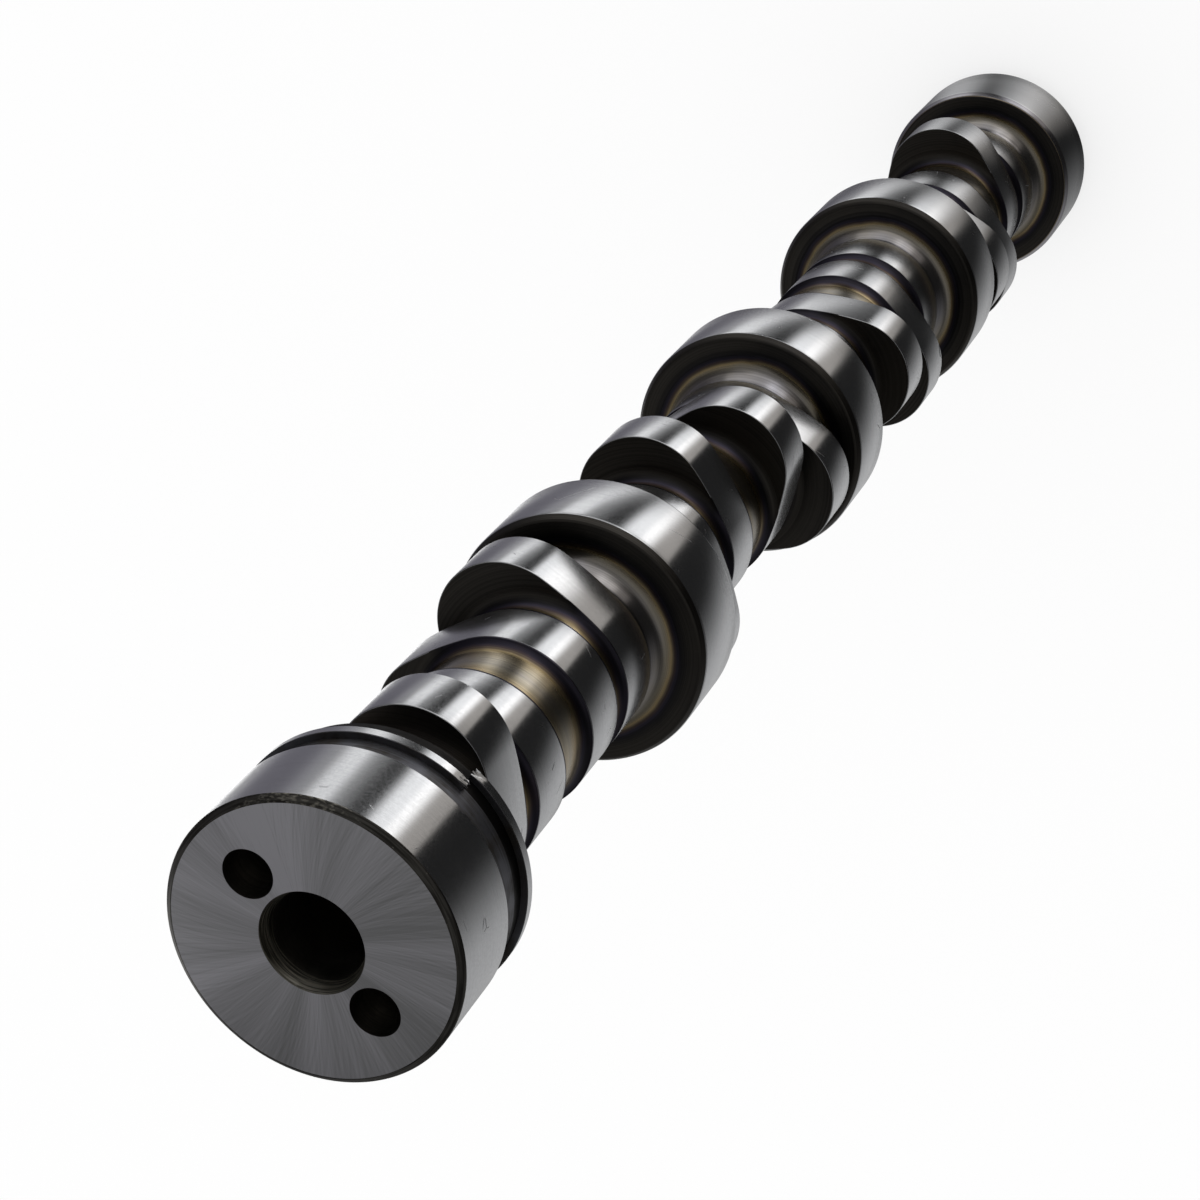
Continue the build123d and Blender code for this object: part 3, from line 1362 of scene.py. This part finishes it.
@dataclass(frozen=True)
class TurnedEdgeSteel(Steel):
    """Alloy steel, turned with a pointed tool along a narrow edge.

    To the eye it is darker than the ground faces, with rings along it, and bright flecks where the
    edge was knocked in handling.
    """

    # The rings are drawn 0.28 mm apart. A pointed tool leaves them nearer 0.1 mm, too fine to show.

    colour: str
    ring_colour: str
    roughness: float = 0.42
    ring_spacing: float = 0.28
    ring_length: float = 9.0
    ring_depth: float = 0.02
    ring_bump: float = 0.6
    fleck_colour: str = "#A8A499"
    fleck_size: float = 1.1
    fleck_share: float = 0.68
    fleck_fade: float = 0.26
    knocked_azimuth: float = 40.0
    knocked_reach: float = 32.0
    knocked_more: float = 0.22

    def look(self, nodes: Nodes) -> Inputs:
        """Adds the turned rings and the flecks, of which more lie where the edge was knocked.

        Args:
            nodes: the material's nodes.

        Returns:
            What the shader's inputs take, by name.
        """
        rings = nodes.marks(self.ring_length, self.ring_spacing, detail=3.0)
        flecks = nodes.marks(self.fleck_size, self.ring_spacing, detail=4.0)
        turn = math.radians(self.knocked_azimuth)
        flat = nodes.add("VectorMath", {0: nodes.place, 1: IN_THE_FACE}, operation="MULTIPLY")
        spoke = nodes.add("VectorMath", {0: flat}, operation="NORMALIZE")
        towards = {0: spoke, 1: (math.sin(turn), math.cos(turn), 0.0)}
        side = nodes.add("VectorMath", towards, operation="DOT_PRODUCT")
        near = math.cos(math.radians(self.knocked_reach))
        knock = {"Value": side, "From Min": near, "From Max": 1.0, "To Max": self.knocked_more}
        worn = nodes.add("MapRange", knock)
        level = nodes.add("Math", {0: worn, 1: flecks}, operation="ADD")
        turned = nodes.two_tone(rings, NOISE_MIDDLE, linear(self.ring_colour), linear(self.colour))
        shown = (self.fleck_share, self.fleck_share + self.fleck_fade)
        bump = {"Height": rings, "Strength": self.ring_bump, "Distance": self.ring_depth * METRES}
        return {
            "Base Color": nodes.two_tone(level, shown, turned, linear(self.fleck_colour)),
            "Roughness": self.roughness,
            "Normal": nodes.add("Bump", bump),
        }


@dataclass(frozen=True)
class DullTurnedSteel(Steel):
    """Alloy steel, turned or drilled and left as it came off the tool.

    To the eye it is dull and dark, with the tool's rings in it and darker patches of scale and oil.
    """

    # The rings are drawn 0.4 mm apart, about twice as coarse as the real ones, so that they show.

    colour: str
    stained: str
    roughness: float
    roughness_spread: float = 0.08
    patch_size: float = 6.0
    ring_spacing: float = 0.4
    ring_length: float = 20.0
    ring_depth: float = 0.01
    ring_bump: float = 0.5
    ring_weight: float = 0.6

    def look(self, nodes: Nodes) -> Inputs:
        """Adds the tool's rings and the patches.

        Args:
            nodes: the material's nodes.

        Returns:
            What the shader's inputs take, by name.
        """
        rings = nodes.marks(self.ring_length, self.ring_spacing, detail=2.0)
        patches = nodes.marks(self.patch_size, self.patch_size, detail=3.0)
        weighed = {0: rings, 1: self.ring_weight, 2: patches}
        both = nodes.add("Math", weighed, operation="MULTIPLY_ADD")
        low, high = (limit * (1 + self.ring_weight) for limit in NOISE_MIDDLE)
        spread = {
            "Value": both,
            "From Min": low,
            "From Max": high,
            "To Min": self.roughness + self.roughness_spread,
            "To Max": self.roughness - self.roughness_spread,
        }
        bump = {"Height": rings, "Strength": self.ring_bump, "Distance": self.ring_depth * METRES}
        return {
            "Base Color": nodes.two_tone(both, (low, high), linear(self.stained), linear(self.colour)),
            "Roughness": nodes.add("MapRange", spread),
            "Normal": nodes.add("Bump", bump),
        }


def finish_materials() -> Materials:
    """Makes the material of every finish.

    Returns:
        The materials.
    """
    steels = {
        # Polished enough to mirror its surroundings as bands along the shaft.
        Finish.GROUND: GroundSteel(),
        # Brown to black scale in rings, on the walls beside the ground faces.
        Finish.WALL: TemperTintedSteel(ring_dark="#DADADA"),
        # Bright bare steel that turns straw and violet in the fillets.
        Finish.NECK: TemperTintedSteel(),
        # Satin, with a fan of streaks and pale wedges.
        Finish.FACE: FaceGroundSteel(),
        # Turned with a parting tool: dull grey, with brown patches.
        Finish.GROOVE: DullTurnedSteel("#74757B", "#4D4944", 0.5),
        # Painted shade: nearly black and matt, on the floor under and between the sensor wheel's rings.
        Finish.SHADED_FLOOR: DullTurnedSteel("#22201F", "#141313", 0.5),
        # Drilled: rings of the drill's lips under a film of oil.
        Finish.HOLE: DullTurnedSteel("#8C8882", "#6C6862", 0.36),
        # Turned taper: pale rings, worn bright on the side where a centre bore on it.
        Finish.TAPER: TurnedEdgeSteel("#C4C0B4", "#65635B", knocked_azimuth=238.0, knocked_reach=14.0),
        # Chamfer round the face: dark rings with pale knocks.
        Finish.EDGE: TurnedEdgeSteel("#5A5854", "#383633"),
    }
    return {finish: steel.material(finish.value) for finish, steel in steels.items()}


@dataclass(frozen=True)
class LightPanel:
    """Upright soft panel of the light tent, seen from the shaft as a strip of one azimuth."""

    azimuth: float
    half_width: float
    edge: float
    level: float
    colour: str = WHITE
    at_foot: float = 1.0
    foot_spread: float = 20.0
    raised: bool = False

    def glow(self, azimuth: float, spread: float) -> tuple[float, float, float]:
        """Light that the panel gives at an azimuth.

        Args:
            azimuth: direction from the shaft in degrees, clockwise from +Y.
            spread: degrees by which the panel's edge is softened, at the same total light.

        Returns:
            Red, green and blue.
        """
        away = abs((azimuth - self.azimuth + 180.0) % 360.0 - 180.0)
        # The softened edge grows outwards and eats a quarter as far into the panel.
        edge = self.edge + spread
        inner = max(0.0, self.half_width - spread / 4)
        part = min(1.0, max(0.0, 1.0 - (away - inner) / edge))
        kept = (self.half_width + self.edge / 2) / (inner + edge / 2)
        foot = 1.0 + (self.at_foot - 1.0) * min(1.0, spread / self.foot_spread)
        strength = self.level * foot * kept * part * part * (3 - 2 * part)
        red, green, blue, _ = linear(self.colour)
        return (strength * red, strength * green, strength * blue)


@dataclass(frozen=True)
class TentRing:
    """One ring of the tent and what glows there: low and raised panels, or the roof."""

    radius: float
    height: float
    spread: float = 0.0
    level: float = 1.0
    raised_level: float = 0.0
    roof: float = 0.0


@dataclass
class LightTent:
    """Tent of soft panels and dark cards round the shaft, which only its polished steel sees."""

    panels: tuple[LightPanel, ...] = (
        # Main strip and the warm panel at its shoulder.
        LightPanel(66.0, 6.5, 9.5, 1.6, at_foot=0.75),
        LightPanel(81.5, 12.0, 1.5, 0.56, "#FFF8F0"),
        # Pale wall on the far side.
        LightPanel(208.0, 16.0, 62.0, 0.53, at_foot=1.6),
        # Strip along the shaft's edge, with a weak panel and a violet one beside it.
        LightPanel(279.0, 5.0, 10.0, 2.0, at_foot=0.7),
        LightPanel(296.0, 6.0, 12.0, 0.38),
        LightPanel(330.0, 22.0, 16.0, 0.2, "#F2EEFF"),
        # Second strip with the glow round it.
        LightPanel(14.0, 14.0, 16.0, 0.3),
        LightPanel(15.5, 6.5, 4.5, 1.0),
        # Box high up, which only the faces that lean back see.
        LightPanel(44.0, 14.0, 12.0, 0.65, raised=True),
    )
    card_level: float = 0.02
    roof_level: float = 0.24
    height: float = 0.0006
    wall_radius: float = 0.75
    raised_foot: float = 0.05
    panel_top: float = 0.55
    panel_fade: float = 0.7
    raised_top: float = 1.0
    roof_start: float = 1.2
    roof_height: float = 1.5
    columns: int = 360

    def rings(self) -> list[TentRing]:
        """Lists the tent's rings from its foot up.

        Panels look softer and dimmer from low on the shaft, which stands nearest the tent's floor.

        Returns:
            The rings.
        """
        wall = self.wall_radius
        return [
            TentRing(0.012, self.height, 30.0, 0.5),
            TentRing(0.04, self.height, 22.0, 0.6),
            TentRing(0.08, self.height, 14.0, 0.75),
            TentRing(0.15, self.height, 7.0, 0.95),
            TentRing(0.3, self.height, 1.0),
            TentRing(0.42, self.height),
            TentRing(0.56, self.height, level=0.5),
            TentRing(wall, self.height, level=0.5),
            TentRing(wall, self.raised_foot, level=0.55, raised_level=1.0),
            TentRing(wall, self.panel_top, level=0.55, raised_level=1.0),
            TentRing(wall, self.panel_fade, level=0.2, raised_level=1.0),
            TentRing(wall, self.raised_top, level=0.2, raised_level=1.0),
            TentRing(wall, self.roof_start, level=0.2, roof=1.0),
            TentRing(0.001, self.roof_height, level=0.2, roof=1.0),
        ]

    def glow(self, ring: TentRing, azimuth: float) -> list[float]:
        """Light that the tent gives at a place.

        Args:
            ring: ring of the tent.
            azimuth: direction from the shaft in degrees, clockwise from +Y.

        Returns:
            Red, green, blue and an alpha of 1.
        """
        colour = [self.card_level] * 3
        for panel in self.panels:
            level = ring.raised_level if panel.raised else ring.level
            light = panel.glow(azimuth, ring.spread)
            colour = [one + level * two for one, two in zip(colour, light)]
        return [one * (1 - ring.roof) + self.roof_level * ring.roof for one in colour] + [1.0]

    def build(self) -> None:
        """Makes the tent."""
        points, glow, faces = [], [], []
        rings = self.rings()
        for level, ring in enumerate(rings):
            low, high = level * self.columns, (level + 1) * self.columns
            for column in range(self.columns):
                azimuth = 360.0 * column / self.columns
                points.append((*on_circle(2 * ring.radius, azimuth), ring.height))
                glow += self.glow(ring, azimuth)
                after = (column + 1) % self.columns
                if ring is not rings[-1]:
                    faces.append((low + column, low + after, high + after, high + column))
        mesh = bpy.data.meshes.new("light_tent")
        mesh.from_pydata(points, [], faces)
        mesh.attributes.new("glow", "FLOAT_COLOR", "POINT").data.foreach_set("color", glow)
        mesh.materials.append(self.material())
        tent = placed("light_tent", mesh)
        tent.visible_camera = False
        tent.visible_diffuse = False
        tent.visible_shadow = False
        tent.visible_transmission = False

    def material(self) -> bpy.types.Material:
        """Makes the panels' own glow.

        Returns:
            The material.
        """
        made, nodes = empty_material("tent_glow")
        glow = nodes.add("Attribute", attribute_name="glow")
        light = nodes.add("Emission", {"Color": glow, "Strength": 1.0})
        nodes.add("OutputMaterial", {"Surface": light})
        return made


@dataclass
class Studio:
    """Pale floor, plain background, lamps for the floor and the camera."""

    sizes: ShaftSizes
    tent: LightTent = field(default_factory=LightTent)
    floor_colour: str = "#F4F4F4"
    floor_reach: float = 30.0
    lamp_softness: float = 110.0
    lamp_strength: float = 3.4
    white_share: float = 0.7
    image_width: float = 1200.0
    focal_pixels: float = 2859.9
    sensor_width: float = 36.0
    far_limit: float = 100.0
    axis_swing: float = 22.65
    axis_tilt: float = 23.54
    shaft_turn: float = 36.05
    rear_face_place: tuple[float, float, float] = (-47.8, 56.9, 473.8)

    def white_when_seen(self, nodes: Nodes) -> Node:
        """Adds a value of 1 for what the camera, polished metal or glass sees, and 0 for other light.

        Args:
            nodes: the nodes that it joins.

        Returns:
            The node that gives the value.
        """
        path = nodes.add("LightPath").outputs
        rays = {0: path["Is Camera Ray"], 1: path["Is Glossy Ray"]}
        seen = nodes.add("Math", rays, operation="MAXIMUM")
        rays = {0: seen, 1: path["Is Transmission Ray"]}
        return nodes.add("Math", rays, operation="MAXIMUM")

    def background(self) -> None:
        """Makes the plain white background."""
        world = bpy.data.worlds.new("plain_background")
        world.use_nodes = True
        nodes = Nodes(world.node_tree)
        white = {"Color": linear(WHITE), "Strength": self.white_when_seen(nodes)}
        nodes.connect(nodes.tree.nodes["Background"], white)
        bpy.context.scene.world = world

    def floor(self) -> None:
        """Makes the floor."""
        reach = self.floor_reach
        corners = [(-reach, -reach, 0.0), (reach, -reach, 0.0), (reach, reach, 0.0), (-reach, reach, 0.0)]
        mesh = bpy.data.meshes.new("floor")
        mesh.from_pydata(corners, [], [(0, 1, 2, 3)])
        mesh.materials.append(self.floor_material())
        floor = placed("floor", mesh)

    def floor_material(self) -> bpy.types.Material:
        """Makes the floor's pale paint, which keeps the shaft's shadow.

        Returns:
            The material.
        """
        made, nodes = empty_material("plain_floor")
        paint = nodes.add("BsdfDiffuse", {"Color": linear(self.floor_colour)})
        white = nodes.add("Emission", {"Strength": 1.0})
        kept = {0: self.white_when_seen(nodes), 1: self.white_share}
        share = nodes.add("Math", kept, operation="MULTIPLY")
        both = nodes.add("MixShader", {0: share, 1: paint, 2: white})
        nodes.add("OutputMaterial", {"Surface": both})
        return made

    def lamp(self) -> None:
        """Makes the broad soft lamp over the floor, which the steel doesn't mirror."""
        data = bpy.data.lights.new("overhead_lamp", "SUN")
        data.angle = math.radians(self.lamp_softness)
        data.energy = self.lamp_strength
        lamp = placed("overhead_lamp", data)
        lamp.visible_glossy = False
        lamp.visible_camera = False

    def camera(self) -> None:
        """Makes the camera, looking down at the standing shaft as the photograph does."""
        swing, tilt = math.radians(self.axis_swing), math.radians(self.axis_tilt)
        along = Vector(
            (math.sin(swing) * math.cos(tilt), -math.sin(tilt), math.cos(swing) * math.cos(tilt))
        )
        side = Vector((0.0, -1.0, 0.0)).cross(along).normalized()
        up = along.cross(side)
        turn = math.radians(self.shaft_turn)
        axes = (
            math.sin(turn) * up - math.cos(turn) * side,
            math.cos(turn) * up + math.sin(turn) * side,
            -along,
        )
        foot = Vector(self.rear_face_place) + self.sizes.length * along
        turned = Matrix([[axis[0], -axis[1], -axis[2]] for axis in axes])
        data = bpy.data.cameras.new("camera")
        data.sensor_width = self.sensor_width
        data.lens = self.focal_pixels / self.image_width * self.sensor_width
        data.clip_end = self.far_limit
        camera = placed("camera", data)
        stand = Matrix.Translation([-axis.dot(foot) * METRES for axis in axes])
        camera.matrix_world = stand @ turned.to_4x4()
        bpy.context.scene.camera = camera

    def build(self) -> None:
        """Sets up everything round the shaft."""
        self.camera()
        self.background()
        self.floor()
        self.lamp()
        self.tent.build()
        bpy.context.scene.view_settings.view_transform = "Standard"


@dataclass(frozen=True)
class ValveTiming:
    """Where each lobe's nose points, from the firing order and the two lobe centres."""

    firing_order: tuple[int, ...] = (1, 8, 7, 2, 6, 5, 4, 3)
    bank_half_angle: float = 45.0
    phase: float = 90.0
    intake_centre: float = 234.3
    exhaust_centre: float = 123.2

    def nose(self, cylinder: int, centre: float) -> float:
        """Angle of a lobe's nose in degrees.

        Args:
            cylinder: number of the cylinder.
            centre: lobe centre of its valve.

        Returns:
            The angle clockwise from +Y.
        """
        bank = self.bank_half_angle if cylinder % 2 else -self.bank_half_angle
        step = 360.0 / len(self.firing_order)
        return self.phase + centre - bank + step * self.firing_order.index(cylinder)


@dataclass
class Bay(Assembly):
    """Four lobes and five necks between two journals."""

    timing: ValveTiming
    number: int
    intake: CamOutline = CamOutline(18.35, 8.57)
    exhaust: CamOutline = CamOutline(18.35, 8.43)
    bare_corner: float = 1.5
    journal_steps: int = 14
    lobe_steps: int = 10
    corner_steps: int = 6

    def lobes(self) -> list[CamLobe]:
        """Lists the bay's lobes from the rear: intake, exhaust, exhaust, intake of two cylinders.

        Returns:
            The lobes.
        """
        sizes, timing = self.sizes, self.timing
        first = sizes.journal_wall(self.number) + sizes.journal_width + sizes.journal_neck
        second = first + sizes.lobe_width + sizes.pair_neck
        third = second + sizes.lobe_width + sizes.middle_neck
        fourth = third + sizes.lobe_width + sizes.pair_neck
        odd = len(timing.firing_order) - 1 - 2 * self.number
        even = odd + 1
        cams = (
            (first, even, self.intake, timing.intake_centre, "intake"),
            (second, odd, self.exhaust, timing.exhaust_centre, "exhaust"),
            (third, even, self.exhaust, timing.exhaust_centre, "exhaust"),
            (fourth, odd, self.intake, timing.intake_centre, "intake"),
        )
        return [
            CamLobe(sizes, f"{valve}_lobe_{cylinder}", start, outline, timing.nose(cylinder, centre))
            for start, cylinder, outline, centre, valve in cams
        ]

    def necks(self, lobes: list[CamLobe]) -> list[Neck]:
        """Lists the necks round the lobes.

        Args:
            lobes: the bay's lobes in order.

        Returns:
            The necks in order from the rear.
        """
        sizes = self.sizes
        full = sizes.journal_radius
        wall = Fillet(sizes.journal_fillet, self.journal_steps, lambda angle: full, HEAT.beside_journal)
        first, last = (
            Fillet(self.bare_corner, self.corner_steps, lobe.radius, HEAT.beside_lobe_with_shade)
            for lobe in (lobes[0], lobes[-1])
        )
        rear_end = sizes.sensor_end if self.number == 0 else lobes[0].start - sizes.journal_neck
        spans = [(rear_end, lobes[0].start, wall, first)]
        for one, two in zip(lobes, lobes[1:]):
            radius = min(sizes.lobe_fillet, (two.start - one.end) / 2)
            pair = (Fillet(radius, self.lobe_steps, lobe.radius, HEAT.beside_lobe_with_shade) for lobe in (one, two))
            spans.append((one.end, two.start, *pair))
        end = lobes[-1].end
        spans.append((end, end + sizes.journal_neck, last, wall))
        return [Neck(sizes, f"neck_{self.number}_{index}", *span) for index, span in enumerate(spans)]

    def parts(self) -> list[Part]:
        """Lists the lobes and then the necks.

        Returns:
            The bay's parts.
        """
        lobes = self.lobes()
        return [*lobes, *self.necks(lobes)]


@dataclass
class Camshaft(Assembly):
    """The whole shaft."""

    timing: ValveTiming = ValveTiming()
    middle_journals: tuple[str, ...] = ("second_journal", "third_journal", "fourth_journal")

    def parts(self) -> list[Part]:
        """Lists every part: the rear end, the bays, the journals between them and the drive end.

        Returns:
            The parts.
        """
        sizes = self.sizes
        made = [RearEnd(sizes), *SensorWheel(sizes).parts()]
        for number in range(sizes.journal_count - 1):
            made += Bay(sizes, self.timing, number).parts()
        for index, name in enumerate(self.middle_journals, start=1):
            made.append(Journal(sizes, name, sizes.journal_wall(index), sizes.journal_width))
        return [*made, DriveEnd(sizes)]


def main() -> None:
    """Builds the studio and the shaft, and reports each piece."""
    logging.basicConfig(level=logging.INFO, format="%(name)s: %(message)s")
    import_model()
    sizes = ShaftSizes()
    Studio(sizes).build()
    for piece in Camshaft(sizes).build(finish_materials()):
        faces = sum(len(polygon.vertices) - 2 for polygon in piece.data.polygons)
        LOG.info("%s: %d triangles", piece.name, faces)


if __name__ == "__main__":
    main()
